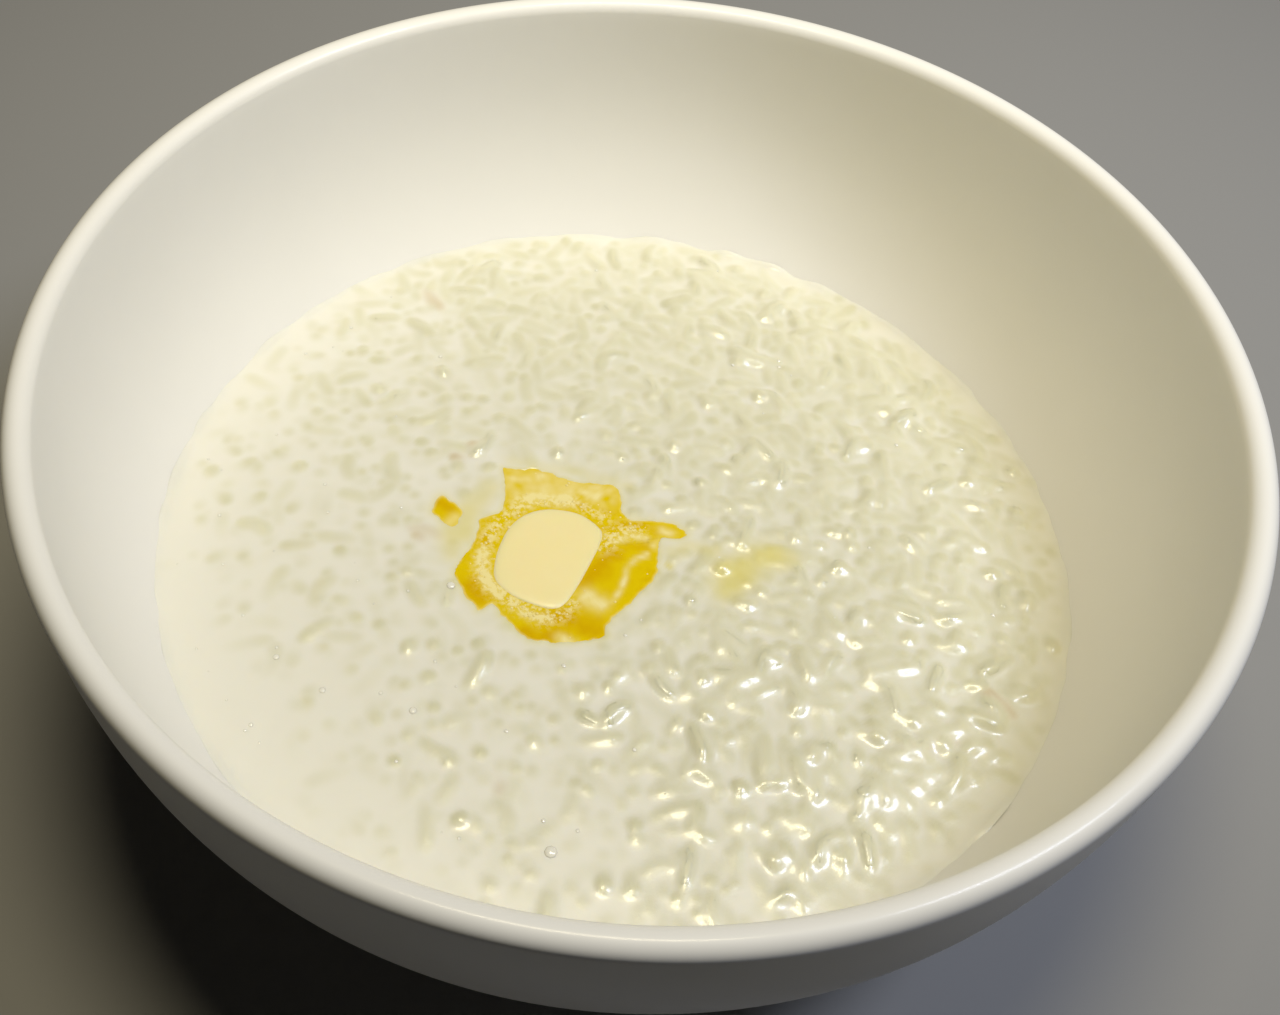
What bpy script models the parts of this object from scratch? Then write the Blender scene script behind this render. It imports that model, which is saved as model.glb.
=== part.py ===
"""Rice pudding in a deep white bowl, with a pat of butter melting on top.

Metres, +Z up. The origin is on the table, under the middle of the bowl's foot.
The near side of the bowl faces -Y and its right side +X.
"""

import math

import bmesh
import bpy
from mathutils import Vector, geometry, noise

# The bowl: a turned wall of even thickness, with a round lip and a low foot ring.
RIM_RADIUS = 0.085  # outermost radius, at the middle of the lip
RIM_HEIGHT = 0.070  # height of that outermost circle
WALL = 0.0038
BODY_DEPTH = 0.068  # from the outermost circle down to where the outside would close
SIDE_FULLNESS = 2.9  # power of the superellipse: 2 is an ellipse, more is a fuller side
FOOT_RADIUS = 0.0400  # outside of the foot ring
FOOT_DRAFT = 0.0010  # how much the foot ring narrows towards the table
FOOT_WIDTH = 0.0042
FOOT_RECESS = 0.0022  # the underside stands this far above the table

# The pudding: its surface lies below the rim and is a little higher on the near left.
SURFACE_DEPTH = 0.0384  # below the outermost circle, in the middle of the bowl
SLOPE_X = -0.014  # rise of the surface for each metre along X
SLOPE_Y = -0.040  # rise of the surface for each metre along Y
LUMP_HEIGHT = 0.0018  # the most that lumps of rice rise above the milk or dip below it
LUMP_SIZE = 0.0075
MILKY_SIDE = math.radians(215)  # direction of the side where milk covers the rice
MILKY_START = 0.020  # distance that way at which the lumps begin to flatten
MILKY_END = 0.058  # distance that way at which the surface is plain milk
EDGE_BAND = 0.010  # the lumps flatten over this distance from the wall

# The butter: a soft pat, and the pool that has melted from it.
PAT_CENTRE = (-0.0108, -0.0102)
PAT_TURN = math.radians(-18)
PAT_WIDTH = 0.0150
PAT_LENGTH = 0.0186
PAT_CORNERS = 3.6  # power of the pat's superellipse outline
PAT_PROUD = 0.0009  # height of its top above the surface
PAT_SUNK = 0.0040  # depth of its bottom below the surface
PAT_EDGE = 0.0009  # how far the edges round in
POOL_DEPTH = 0.0014
POOL_BAND = 0.004  # the lumps flatten over this distance from the pool
POOL_OUTLINE = [
    (-0.0203, 0.0067),
    (-0.0109, 0.0068),
    (-0.0017, 0.0057),
    (0.0002, -0.0005),
    (0.0054, -0.0007),
    (0.0109, -0.0028),
    (0.0066, -0.0060),
    (0.0060, -0.0137),
    (0.0007, -0.0210),
    (-0.0003, -0.0244),
    (-0.0048, -0.0265),
    (-0.0116, -0.0266),
    (-0.0154, -0.0230),
    (-0.0203, -0.0222),
    (-0.0244, -0.0168),
    (-0.0223, -0.0050),
    (-0.0184, -0.0017),
]

GAP = 0.0003  # clearance between touching pieces
SEGMENTS = 80  # around the bowl and the pudding
OUTSIDE_STEPS = 10  # along the outside of the bowl's wall
INSIDE_STEPS = 12
LIP_STEPS = 6
PUDDING_SIDE_RINGS = 7
TOP_SPACING = 0.0037  # between the points of the pudding's top
PAT_POINTS = 32
POOL_POINTS_PER_SIDE = 3
CUTTER_RISE = 0.004  # how far cutters reach above the surface


def clear_scene():
    for thing in list(bpy.data.objects):
        bpy.data.objects.remove(thing)


def new_material(name, colour, roughness):
    material = bpy.data.materials.new(name)
    material.use_nodes = True
    shader = material.node_tree.nodes["Principled BSDF"]
    shader.inputs["Base Color"].default_value = (*colour, 1)
    shader.inputs["Roughness"].default_value = roughness
    shader.inputs["Metallic"].default_value = 0
    material.diffuse_color = (*colour, 1)
    return material


def add_object(name, points, faces, material=None):
    mesh = bpy.data.meshes.new(name)
    mesh.from_pydata(points, [], faces)
    work = bmesh.new()
    work.from_mesh(mesh)
    bmesh.ops.recalc_face_normals(work, faces=work.faces)
    work.to_mesh(mesh)
    work.free()
    thing = bpy.data.objects.new(name, mesh)
    bpy.context.scene.collection.objects.link(thing)
    if material:
        mesh.materials.append(material)
    return thing


def add_cutter(name, points, faces):
    cutter = add_object(name, points, faces)
    cutter.hide_render = True
    cutter.display_type = "WIRE"
    return cutter


def cut(thing, cutter):
    boolean = thing.modifiers.new("Cut " + cutter.name, "BOOLEAN")
    boolean.operation = "DIFFERENCE"
    boolean.solver = "EXACT"
    boolean.object = cutter


def smoothstep(low, high, value):
    part = min(max((value - low) / (high - low), 0), 1)
    return part * part * (3 - 2 * part)


def rings_to_faces(ring_count, ring_size, start=0):
    """Quads between rings of ring_size points, which follow each other in the point list."""
    faces = []
    for ring in range(ring_count - 1):
        low = start + ring * ring_size
        for i in range(ring_size):
            j = (i + 1) % ring_size
            faces.append((low + i, low + j, low + ring_size + j, low + ring_size + i))
    return faces


# --- the bowl ---


def wall_point(turn, inset):
    """(radius, height) of the wall's outside moved inwards by inset. turn runs from 0 at the
    rim to a quarter turn at the middle of the bottom."""
    depth = BODY_DEPTH * math.sin(turn)
    radius = RIM_RADIUS * math.sqrt(max(1 - math.sin(turn) ** SIDE_FULLNESS, 0))
    steep = 2 * radius / RIM_RADIUS**2
    flat = SIDE_FULLNESS * depth ** (SIDE_FULLNESS - 1) / BODY_DEPTH**SIDE_FULLNESS
    scale = inset / math.hypot(steep, flat)
    return max(radius - steep * scale, 0), RIM_HEIGHT - depth + flat * scale


def turn_at_radius(radius, inset):
    """The turn at which the wall, moved inwards by inset, has this radius."""
    low, high = 0, math.pi / 2
    for _ in range(40):
        middle = (low + high) / 2
        if wall_point(middle, inset)[0] > radius:
            low = middle
        else:
            high = middle
    return low


def bowl_profile():
    """(radius, height) from the middle of the underside, round the outside, over the lip and
    down the inside to the middle of the bottom."""
    foot_turn = turn_at_radius(FOOT_RADIUS, 0)
    foot_bottom = FOOT_RADIUS - FOOT_DRAFT
    profile = [
        (0, FOOT_RECESS),
        (foot_bottom - FOOT_WIDTH - FOOT_DRAFT, FOOT_RECESS),
        (foot_bottom - FOOT_WIDTH, 0),
        (foot_bottom, 0),
    ]
    for step in range(OUTSIDE_STEPS + 1):
        profile.append(wall_point(foot_turn * (1 - step / OUTSIDE_STEPS), 0))
    for step in range(1, LIP_STEPS):
        angle = math.pi * step / LIP_STEPS
        across = WALL / 2 * math.cos(angle)
        profile.append((RIM_RADIUS - WALL / 2 + across, RIM_HEIGHT + WALL / 2 * math.sin(angle)))
    for step in range(INSIDE_STEPS + 1):
        profile.append(wall_point(math.pi / 2 * step / INSIDE_STEPS, WALL))
    return profile


def turned(profile):
    """Points and faces of a profile turned round Z. Its first and last points are on the axis."""
    rings = profile[1:-1]
    points = []
    for radius, height in rings:
        for i in range(SEGMENTS):
            angle = math.tau * i / SEGMENTS
            points.append((radius * math.cos(angle), radius * math.sin(angle), height))
    faces = rings_to_faces(len(rings), SEGMENTS)
    for (_, height), ring in ((profile[0], 0), (profile[-1], len(rings) - 1)):
        points.append((0, 0, height))
        for i in range(SEGMENTS):
            j = (i + 1) % SEGMENTS
            faces.append((len(points) - 1, ring * SEGMENTS + i, ring * SEGMENTS + j))
    return points, faces


def make_bowl():
    glaze = new_material("white_glaze", (0.80, 0.78, 0.74), 0.15)
    bowl = add_object("bowl", *turned(bowl_profile()), glaze)
    bowl.data.shade_smooth()
    bowl.data.set_sharp_from_angle(angle=math.radians(50))
    return bowl


# --- the pudding ---


def level(x, y):
    """Height of the milk at this place."""
    return RIM_HEIGHT - SURFACE_DEPTH + SLOPE_X * x + SLOPE_Y * y


def distance_to_pool(x, y):
    """Distance to the pool's outline, or 0 inside it."""
    nearest = math.inf
    inside = False
    place = Vector((x, y))
    for i, (ax, ay) in enumerate(POOL_OUTLINE):
        bx, by = POOL_OUTLINE[i - 1]
        side = Vector((bx - ax, by - ay))
        along = min(max((place - Vector((ax, ay))).dot(side) / side.length_squared, 0), 1)
        nearest = min(nearest, (place - Vector((ax, ay)) - side * along).length)
        if (ay > y) != (by > y) and x < ax + (y - ay) * (bx - ax) / (by - ay):
            inside = not inside
    return 0 if inside else nearest


def surface(x, y, edge_distance):
    """Height of the pudding's top: level milk with lumps of rice, which flatten on the milky
    side, along the wall and round the pool of butter."""
    towards_milk = x * math.cos(MILKY_SIDE) + y * math.sin(MILKY_SIDE)
    share = 1 - smoothstep(MILKY_START, MILKY_END, towards_milk)
    share *= smoothstep(0, EDGE_BAND, edge_distance)
    share *= smoothstep(0, POOL_BAND, distance_to_pool(x, y))
    lumps = noise.noise(Vector((x, y, 0)) / LUMP_SIZE)
    return level(x, y) + LUMP_HEIGHT * lumps * share


def turn_at_surface(angle):
    """The turn at which the pudding's side meets the milk, in this direction."""
    low, high = 0, math.pi / 2
    for _ in range(40):
        middle = (low + high) / 2
        radius, height = wall_point(middle, WALL + GAP)
        if height > level(radius * math.cos(angle), radius * math.sin(angle)):
            low = middle
        else:
            high = middle
    return low


def grid_inside(radius):
    """Points of a triangular grid within this radius of the middle."""
    row_height = TOP_SPACING * math.sqrt(3) / 2
    rows = math.ceil(radius / row_height)
    columns = math.ceil(radius / TOP_SPACING)
    for row in range(-rows, rows + 1):
        for column in range(-columns, columns + 1):
            x = (column + row % 2 / 2) * TOP_SPACING
            y = row * row_height
            if math.hypot(x, y) < radius:
                yield x, y


def make_pudding():
    points = []
    edges = [turn_at_surface(math.tau * i / SEGMENTS) for i in range(SEGMENTS)]
    for ring in range(1, PUDDING_SIDE_RINGS + 1):
        for i, edge in enumerate(edges):
            angle = math.tau * i / SEGMENTS
            turn = math.pi / 2 + (edge - math.pi / 2) * ring / PUDDING_SIDE_RINGS
            radius, height = wall_point(turn, WALL + GAP)
            points.append((radius * math.cos(angle), radius * math.sin(angle), height))
    faces = rings_to_faces(PUDDING_SIDE_RINGS, SEGMENTS)
    points.append((0, 0, wall_point(math.pi / 2, WALL + GAP)[1]))
    for i in range(SEGMENTS):
        faces.append((len(points) - 1, i, (i + 1) % SEGMENTS))

    # The top joins the uppermost ring to a grid of points that carry the lumps.
    ring_start = (PUDDING_SIDE_RINGS - 1) * SEGMENTS
    numbers = list(range(ring_start, ring_start + SEGMENTS))
    flat = [Vector(points[number][:2]) for number in numbers]
    narrowest = min(place.length for place in flat)
    for x, y in grid_inside(narrowest - TOP_SPACING / 2):
        numbers.append(len(points))
        flat.append(Vector((x, y)))
        points.append((x, y, surface(x, y, narrowest - math.hypot(x, y))))
    outer_loop = [list(range(SEGMENTS))]
    _, _, triangles, sources, _, _ = geometry.delaunay_2d_cdt(flat, [], outer_loop, 1, 1e-7)
    for triangle in triangles:
        faces.append(tuple(numbers[sources[corner][0]] for corner in triangle))

    cream = new_material("milk_rice", (0.78, 0.73, 0.55), 0.3)
    pudding = add_object("pudding", points, faces, cream)
    pudding.data.shade_smooth()
    return pudding


# --- the butter ---


def slab(outline, layers):
    """Points and faces of a block with this outline at each layer. A layer is (inset, lift):
    the outline drawn in by inset, at the milk's level plus lift."""
    points = []
    for inset, lift in layers:
        for x, y in moved_outline(outline, -inset):
            points.append((x, y, level(x, y) + lift))
    size = len(outline)
    faces = rings_to_faces(len(layers), size)
    last = (len(layers) - 1) * size
    faces.append(tuple(range(size)))
    faces.append(tuple(range(last, last + size)))
    return points, faces


def moved_outline(outline, outwards):
    """A closed outline with every point moved outwards, square to its neighbours."""
    turning = 0
    for i, (x, y) in enumerate(outline):
        before_x, before_y = outline[i - 1]
        turning += before_x * y - x * before_y
    side = 1 if turning > 0 else -1
    moved = []
    for i, (x, y) in enumerate(outline):
        before, after = Vector(outline[i - 1]), Vector(outline[(i + 1) % len(outline)])
        along = (after - before).normalized()
        moved.append((x + side * outwards * along.y, y - side * outwards * along.x))
    return moved


def pat_outline():
    """The pat seen from above: a square with round corners."""
    outline = []
    for i in range(PAT_POINTS):
        angle = math.tau * i / PAT_POINTS
        reach = abs(math.cos(angle)) ** PAT_CORNERS + abs(math.sin(angle)) ** PAT_CORNERS
        reach = reach ** (-1 / PAT_CORNERS)
        x = PAT_WIDTH / 2 * reach * math.cos(angle)
        y = PAT_LENGTH / 2 * reach * math.sin(angle)
        outline.append(
            (
                PAT_CENTRE[0] + x * math.cos(PAT_TURN) - y * math.sin(PAT_TURN),
                PAT_CENTRE[1] + x * math.sin(PAT_TURN) + y * math.cos(PAT_TURN),
            )
        )
    return outline


def smooth_outline(corners):
    """A closed curve through the corners, with POOL_POINTS_PER_SIDE points on each side."""
    curve = []
    count = len(corners)
    for i in range(count):
        a, b, c, d = (Vector(corners[(i + k - 1) % count]) for k in range(4))
        for step in range(POOL_POINTS_PER_SIDE):
            t = step / POOL_POINTS_PER_SIDE
            point = b * 2 + (c - a) * t + (a * 2 - b * 5 + c * 4 - d) * t**2
            point += (b * 3 - a - c * 3 + d) * t**3
            curve.append(tuple(point / 2))
    return curve


def make_butter(pudding):
    pat_shape = pat_outline()
    pool_shape = smooth_outline(POOL_OUTLINE)
    pat_layers = [
        (PAT_EDGE, -PAT_SUNK),
        (0, -PAT_SUNK + PAT_EDGE),
        (0, PAT_PROUD - PAT_EDGE),
        (PAT_EDGE * 0.3, PAT_PROUD - PAT_EDGE * 0.35),
        (PAT_EDGE, PAT_PROUD),
    ]
    pale_butter = new_material("butter", (0.87, 0.74, 0.36), 0.35)
    pat = add_object("butter_pat", *slab(pat_shape, pat_layers), pale_butter)
    golden = new_material("melted_butter", (0.66, 0.42, 0.02), 0.08)
    pool = add_object("melted_butter", *slab(pool_shape, [(0, -POOL_DEPTH), (0, 0)]), golden)
    pat_hole = add_cutter(
        "pat_hole", *slab(pat_shape, [(-GAP, -PAT_SUNK - GAP), (-GAP, CUTTER_RISE)])
    )
    pool_hole = add_cutter(
        "pool_hole", *slab(pool_shape, [(-GAP, -POOL_DEPTH - GAP), (-GAP, CUTTER_RISE)])
    )
    cut(pool, pat_hole)
    cut(pudding, pool_hole)
    cut(pudding, pat_hole)
    for thing in (pat, pool):
        thing.data.shade_smooth()
        thing.data.set_sharp_from_angle(angle=math.radians(40))


def main():
    clear_scene()
    make_bowl()
    make_butter(make_pudding())


main()
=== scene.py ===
"""Looks of the rice pudding: a glazed bowl, milk with rice grains in and on it, a soft pat of
butter and the golden pool that has melted from it. Metres, +Z up, in the frame of the CAD."""

import math

import bpy
import numpy as np
from mathutils import Matrix, Vector, noise


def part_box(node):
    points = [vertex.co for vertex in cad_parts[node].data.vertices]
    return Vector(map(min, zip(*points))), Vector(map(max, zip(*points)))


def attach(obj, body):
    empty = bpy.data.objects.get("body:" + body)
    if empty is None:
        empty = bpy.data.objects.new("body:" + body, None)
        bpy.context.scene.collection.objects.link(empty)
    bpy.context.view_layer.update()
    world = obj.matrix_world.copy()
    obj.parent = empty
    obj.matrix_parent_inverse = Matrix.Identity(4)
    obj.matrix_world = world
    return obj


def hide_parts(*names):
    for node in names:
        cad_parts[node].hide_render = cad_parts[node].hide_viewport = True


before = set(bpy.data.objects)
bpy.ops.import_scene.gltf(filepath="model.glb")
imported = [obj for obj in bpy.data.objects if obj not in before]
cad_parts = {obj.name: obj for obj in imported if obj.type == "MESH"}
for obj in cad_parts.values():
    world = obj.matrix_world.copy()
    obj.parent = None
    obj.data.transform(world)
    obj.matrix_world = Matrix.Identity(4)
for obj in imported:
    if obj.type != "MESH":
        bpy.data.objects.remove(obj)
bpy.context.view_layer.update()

SEED = 11
MM = 0.001

# --- the bowl's shape, as in the CAD ---

bowl_low, bowl_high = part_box("bowl")
WALL = 3.8 * MM
RIM_RADIUS = (bowl_high.x - bowl_low.x) / 2
RIM_HEIGHT = bowl_high.z - WALL / 2
BODY_DEPTH = 68 * MM
SIDE_FULLNESS = 2.9
FOOT_RADIUS = 40 * MM
FOOT_DRAFT = 1.0 * MM
FOOT_WIDTH = 4.2 * MM
FOOT_RECESS = 2.2 * MM
FOOT_ROUND = 0.7 * MM

# --- the milk's surface, as in the CAD ---

SURFACE_DEPTH = 38.4 * MM
SLOPE_X = -0.014
SLOPE_Y = -0.040
INTO_WALL = 0.45 * MM  # the milk reaches this far into the wall, so that no gap shows
MENISCUS_HEIGHT = 0.36 * MM
MENISCUS_REACH = 0.9 * MM

# --- the butter, as in the CAD ---

pat_low, pat_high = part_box("butter_pat")
PAT_CENTRE = Vector(((pat_low.x + pat_high.x) / 2, (pat_low.y + pat_high.y) / 2))

# Outlines seen from above, in millimetres.
PAT_OUTLINE = [
    (-11.1, -1.0), (-6.5, -1.3), (-3.4, -3.5), (-2.6, -6.2), (-4.7, -13.9), (-6.6, -18.9),
    (-8.9, -20.6), (-13.8, -19.6), (-17.9, -17.2), (-18.9, -12.5), (-17.6, -6.0), (-14.8, -2.4),
]
POOL_OUTLINE = [
    (-20.2, 6.6), (-17.4, 6.6), (-14.6, 7.2), (-7.3, 5.3), (-1.9, 5.6), (-0.5, 3.9), (0.1, 0.0),
    (2.0, -1.2), (8.4, -0.8), (11.0, -2.9), (9.8, -4.1), (6.6, -4.4), (6.7, -10.7), (5.9, -13.5),
    (3.2, -17.0), (-0.2, -22.2), (-0.5, -24.8), (-6.9, -26.6), (-11.8, -26.4), (-16.1, -22.7),
    (-18.1, -20.9), (-20.0, -22.4), (-24.7, -16.2), (-22.7, -9.2), (-22.4, -4.8), (-19.1, -2.4),
    (-19.3, 2.3),
]
DROP_OUTLINE = [
    (-30.1, -1.9), (-28.7, -1.1), (-26.0, -3.0), (-25.5, -5.3), (-26.2, -7.2), (-28.4, -6.3),
    (-30.0, -4.4),
]

BAY_SIZE = 1.3 * MM  # small bays along the edge of the melted butter
BAY_DEPTH = 0.5 * MM

# Strokes over the butter: half width, strength, and the places they run through, in millimetres.
POOL_CLOUDS = [
    (2.6, 0.45, [(-19.0, 4.0), (-13.8, 4.8), (-8.0, 4.4), (-2.8, 3.9)]),
    (1.5, 0.85, [(-16.3, 0.6), (-12.6, 1.6), (-9.0, 1.5)]),
    (1.2, 0.60, [(-6.0, 3.0), (-3.1, 2.0)]),
    (1.3, 0.70, [(-20.9, -0.6), (-21.4, -2.4)]),
    (0.7, 0.65, [(-0.3, -6.0), (2.1, -4.6), (4.2, -4.6)]),
    (0.5, 0.65, [(4.8, -8.0), (3.1, -9.1), (2.0, -10.8), (1.7, -13.0), (1.3, -15.4), (0.3, -17.5)]),
    (1.4, 0.90, [(-3.9, -17.3), (-2.5, -18.3), (-1.7, -18.5)]),
    (0.8, 0.75, [(-7.1, -25.6), (-5.0, -26.3)]),
    (0.9, 0.85, [(-20.7, -11.3), (-20.8, -12.9), (-20.1, -15.2), (-19.2, -17.3), (-17.3, -18.6)]),
    (0.8, 0.60, [(-14.9, -20.5), (-12.3, -22.2), (-9.7, -22.4)]),
    (0.9, 0.60, [(6.9, -2.8), (8.5, -3.4)]),
    (0.7, 0.60, [(7.0, -4.8), (5.9, -6.0)]),
    (1.0, 0.55, [(-27.2, -6.6), (-26.3, -5.2)]),
]
POOL_DEPTHS = [
    (1.2, 0.90, [(-12.5, -25.2), (-10.8, -25.8), (-8.2, -25.6)]),
    (1.9, 1.00, [(-8.5, -22.3), (-6.7, -21.6), (-4.3, -22.6), (-1.8, -23.7)]),
    (1.4, 1.00, [(-21.6, -17.6), (-21.0, -18.8), (-19.8, -20.1)]),
    (1.5, 0.95, [(-4.9, -14.9), (-2.9, -12.2), (-0.7, -9.0)]),
    (1.0, 0.80, [(-20.9, -8.1), (-20.6, -9.4)]),
    (0.7, 0.80, [(-7.3, 0.9), (-5.9, 0.2)]),
    (1.0, 0.55, [(-1.2, -3.2), (3.2, -2.2), (5.6, -3.2)]),
    (0.8, 0.55, [(-0.7, -8.2), (3.6, -6.8)]),
    (1.2, 0.95, [(-29.3, -2.4), (-27.6, -3.4)]),
]
POOL_FOAM = [
    (1.4, 1.00, [(-20.6, -11.3), (-20.4, -15.0), (-18.9, -17.6), (-14.9, -20.3), (-9.7, -22.3)]),
    (1.6, 0.95, [(-1.8, -7.0), (-0.9, -5.0), (0.3, -3.9), (2.6, -3.4)]),
    (1.5, 0.95, [(-20.4, -8.3), (-19.4, -5.3), (-18.0, -3.0), (-16.0, -0.9)]),
    (1.2, 0.80, [(-15.0, 0.0), (-8.0, 1.0), (-5.0, -0.6), (-2.6, -1.6)]),
    (1.2, 0.70, [(-9.7, -22.3), (-7.0, -21.6), (-5.6, -19.0)]),
]
MILK_STAINS = [
    (2.6, 0.62, [(-24.6, -3.6), (-24.4, -8.0)]),
    (1.8, 0.40, [(-27.0, -7.6), (-25.6, -12.5)]),
    (2.2, 0.40, [(-21.7, 1.9), (-22.7, -0.4)]),
    (1.4, 0.26, [(-19.0, 8.0), (-8.0, 7.4), (0.6, 5.6)]),
    (1.6, 0.36, [(8.8, -6.8), (11.5, -5.2), (15.0, -5.8)]),
    (3.0, 0.66, [(17.6, -9.6), (20.3, -7.6), (24.0, -5.4)]),
    (2.4, 0.58, [(17.6, -13.2), (20.0, -10.5)]),
    (1.8, 0.36, [(25.0, -5.2), (27.5, -5.8)]),
    (0.6, 0.70, [(8.1, -9.5), (8.6, -9.9)]),
]
TINTED_GRAINS = [
    (-38.6, 45.3), (-25.3, 13.9), (-27.7, 7.8), (11.6, -27.1), (58.4, -27.8), (48.1, -35.9),
    (-11.3, -49.1), (-30.4, -9.4),
]

# --- foam and bubbles ---

FOAM_SIZE = 0.3 * MM
FOAM_TRIES = 9000
BUBBLE_TRIES = 200
LARGE_BUBBLES = [
    (-24.7, -18.7, 0.7), (-4.3, -59.6, 0.9), (-39.9, -39.5, 0.5), (-47.8, -35.0, 0.5),
    (-26.4, -41.0, 0.6),
]

# --- the rice ---

GRAIN_LENGTH = (5.0 * MM, 7.6 * MM)
GRAIN_WIDTH = (2.6 * MM, 3.5 * MM)
GRAIN_TRIES = 40000
RASTER = 0.2 * MM  # cell of the height map in which the grains and the milk meet
DISC_CELLS = 290  # cells across the milk's mesh

rng = np.random.default_rng(SEED)


def smoothstep(low, high, value):
    part = np.clip((value - low) / (high - low), 0, 1)
    return part * part * (3 - 2 * part)


def level(x, y):
    """Height of the milk at this place."""
    return RIM_HEIGHT - SURFACE_DEPTH + SLOPE_X * x + SLOPE_Y * y


# --- meshes ---


def make_piece(name, points, faces, smooth=True):
    mesh = bpy.data.meshes.new(name)
    mesh.from_pydata([tuple(p) for p in points], [], faces)
    mesh.validate()
    mesh.update()
    if smooth:
        mesh.shade_smooth()
    piece = bpy.data.objects.new(name, mesh)
    bpy.context.scene.collection.objects.link(piece)
    return piece


def make_grid_piece(name, points, quads):
    """A piece from arrays of points and quads, made without a Python loop over its points."""
    mesh = bpy.data.meshes.new(name)
    mesh.vertices.add(len(points))
    mesh.vertices.foreach_set("co", np.asarray(points, np.float32).ravel())
    mesh.loops.add(quads.size)
    mesh.loops.foreach_set("vertex_index", quads.astype(np.int32).ravel())
    mesh.polygons.add(len(quads))
    mesh.polygons.foreach_set("loop_start", np.arange(0, quads.size, 4, dtype=np.int32))
    mesh.update(calc_edges=True)
    mesh.validate()
    mesh.shade_smooth()
    piece = bpy.data.objects.new(name, mesh)
    bpy.context.scene.collection.objects.link(piece)
    return piece


def paint(piece, name, values):
    """Stores an RGBA value for each point, which the material reads by this name."""
    layer = piece.data.color_attributes.new(name, "FLOAT_COLOR", "POINT")
    layer.data.foreach_set("color", np.asarray(values, np.float32).ravel())


def ring_quads(ring_count, ring_size):
    """Quads between rings of ring_size points, which follow each other in the point list."""
    ring, i = np.meshgrid(np.arange(ring_count - 1), np.arange(ring_size), indexing="ij")
    j = (i + 1) % ring_size
    low = ring * ring_size
    quads = np.stack([low + i, low + j, low + ring_size + j, low + ring_size + i], axis=-1)
    return quads.reshape(-1, 4)


# --- materials ---


class Shader:
    """A material's node tree, with short ways to add nodes and join them."""

    def __init__(self, name):
        self.material = bpy.data.materials.new(name)
        self.material.use_nodes = True
        self.nodes = self.material.node_tree.nodes
        self.links = self.material.node_tree.links
        self.surface = self.nodes["Principled BSDF"]

    def add(self, kind, **settings):
        node = self.nodes.new(kind)
        for key, value in settings.items():
            setattr(node, key, value)
        return node

    def join(self, source, target):
        self.links.new(source, target)

    def position(self):
        return self.add("ShaderNodeTexCoord").outputs["Object"]

    def noise(self, scale, detail=3, roughness=0.5, where=None):
        node = self.add("ShaderNodeTexNoise")
        node.inputs["Scale"].default_value = scale
        node.inputs["Detail"].default_value = detail
        node.inputs["Roughness"].default_value = roughness
        self.join(where or self.position(), node.inputs["Vector"])
        return node.outputs["Fac"]

    def ramp(self, factor, low, high, at=(0.0, 1.0)):
        node = self.add("ShaderNodeMapRange")
        self.join(factor, node.inputs["Value"])
        node.inputs["From Min"].default_value, node.inputs["From Max"].default_value = at
        node.inputs["To Min"].default_value = low
        node.inputs["To Max"].default_value = high
        return node.outputs["Result"]

    def mix(self, factor, first, second):
        """Mixes two colours. Each is a plain (r, g, b) or the output of another node."""
        node = self.add("ShaderNodeMix", data_type="RGBA")
        self.join(factor, node.inputs["Factor"])
        for socket, colour in ((node.inputs[6], first), (node.inputs[7], second)):
            if isinstance(colour, tuple):
                socket.default_value = (*colour, 1)
            else:
                self.join(colour, socket)
        return node.outputs[2]

    def math(self, operation, first, second):
        node = self.add("ShaderNodeMath", operation=operation)
        for socket, value in ((node.inputs[0], first), (node.inputs[1], second)):
            if isinstance(value, (int, float)):
                socket.default_value = value
            else:
                self.join(value, socket)
        return node.outputs[0]

    def painted(self, name):
        """The four painted values of a point, from 0 to 1."""
        layer = self.add("ShaderNodeAttribute", attribute_name=name)
        parts = self.add("ShaderNodeSeparateColor")
        self.join(layer.outputs["Color"], parts.inputs["Color"])
        return (*parts.outputs[:3], layer.outputs["Alpha"])

    def bump(self, height, distance, strength=1.0):
        node = self.add("ShaderNodeBump")
        node.inputs["Strength"].default_value = strength
        node.inputs["Distance"].default_value = distance
        self.join(height, node.inputs["Height"])
        self.join(node.outputs["Normal"], self.surface.inputs["Normal"])

    def set(self, **values):
        for key, value in values.items():
            self.surface.inputs[key.replace("_", " ")].default_value = value

    def colour(self, source):
        self.join(source, self.surface.inputs["Base Color"])

    def rough(self, source):
        self.join(source, self.surface.inputs["Roughness"])


def glaze_material():
    shader = Shader("white_glaze")
    cloud = shader.noise(38, 4, 0.55)
    shader.colour(shader.mix(cloud, (0.80, 0.785, 0.74), (0.84, 0.825, 0.785)))
    shader.rough(shader.ramp(shader.noise(90, 3), 0.45, 0.55))
    shader.bump(shader.noise(140, 2), 0.00003)
    shader.set(Specular_IOR_Level=0.35, Coat_Weight=0.2, Coat_Roughness=0.14)
    return shader.material


MILK = (0.782, 0.765, 0.685)
MILK_DEEP = (0.762, 0.742, 0.65)
GRAIN = (0.62, 0.60, 0.42)
GRAIN_PALE = (0.68, 0.66, 0.49)
TINT = (0.60, 0.48, 0.32)
STAIN = (0.70, 0.62, 0.17)


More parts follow.
